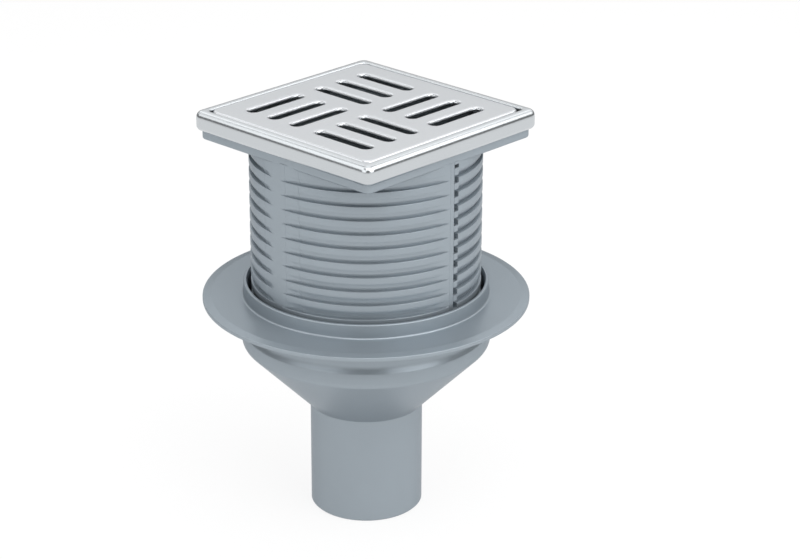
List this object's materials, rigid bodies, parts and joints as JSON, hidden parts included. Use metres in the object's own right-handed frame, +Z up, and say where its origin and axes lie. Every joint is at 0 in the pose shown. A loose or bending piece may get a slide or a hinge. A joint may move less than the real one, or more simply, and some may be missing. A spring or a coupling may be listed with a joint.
{
  "type": "shower floor gully trap",
  "caption": "Floor gully: square stainless slotted grate in a tray frame, ribbed neck that slides and turns, flanged body with a bell trap inside, straight outlet spigot below.",
  "frame": {"origin": "centre of the outlet spigot's end face, which the part stands on", "axes": "+Z up along the spigot's axis, towards the grate; the sides of the square head run along X and Y"},
  "size_m": [0.1438, 0.1438, 0.1855],
  "materials": {
    "grey_plastic": "satin injection-moulded polypropylene, silver grey",
    "trap_plastic": "satin injection-moulded polypropylene, dark grey",
    "stainless": "fine satin with rolled, brighter edges",
    "rubber": "matt black sealing rubber"
  },
  "bodies": {
    "gully_body": {"drain_body": "grey_plastic", "trap_seal": "rubber", "trap_cup": "trap_plastic", "trap_bell": "trap_plastic"},
    "sliding_seal": {"neck_seal": "rubber"},
    "turning_neck": {"neck": "grey_plastic", "steel_frame": "stainless", "grate": "stainless"}
  },
  "joints": [
    {"name": "neck_height", "type": "slide", "parent": "gully_body", "child": "sliding_seal", "axis": [0, 0, 1], "range_m": [-0.0015, 0.015]},
    {"name": "neck_turn", "type": "hinge", "parent": "sliding_seal", "child": "turning_neck", "pos_m": [0, 0, 0.0897], "axis": [0, 0, 1], "continuous": true}
  ]
}
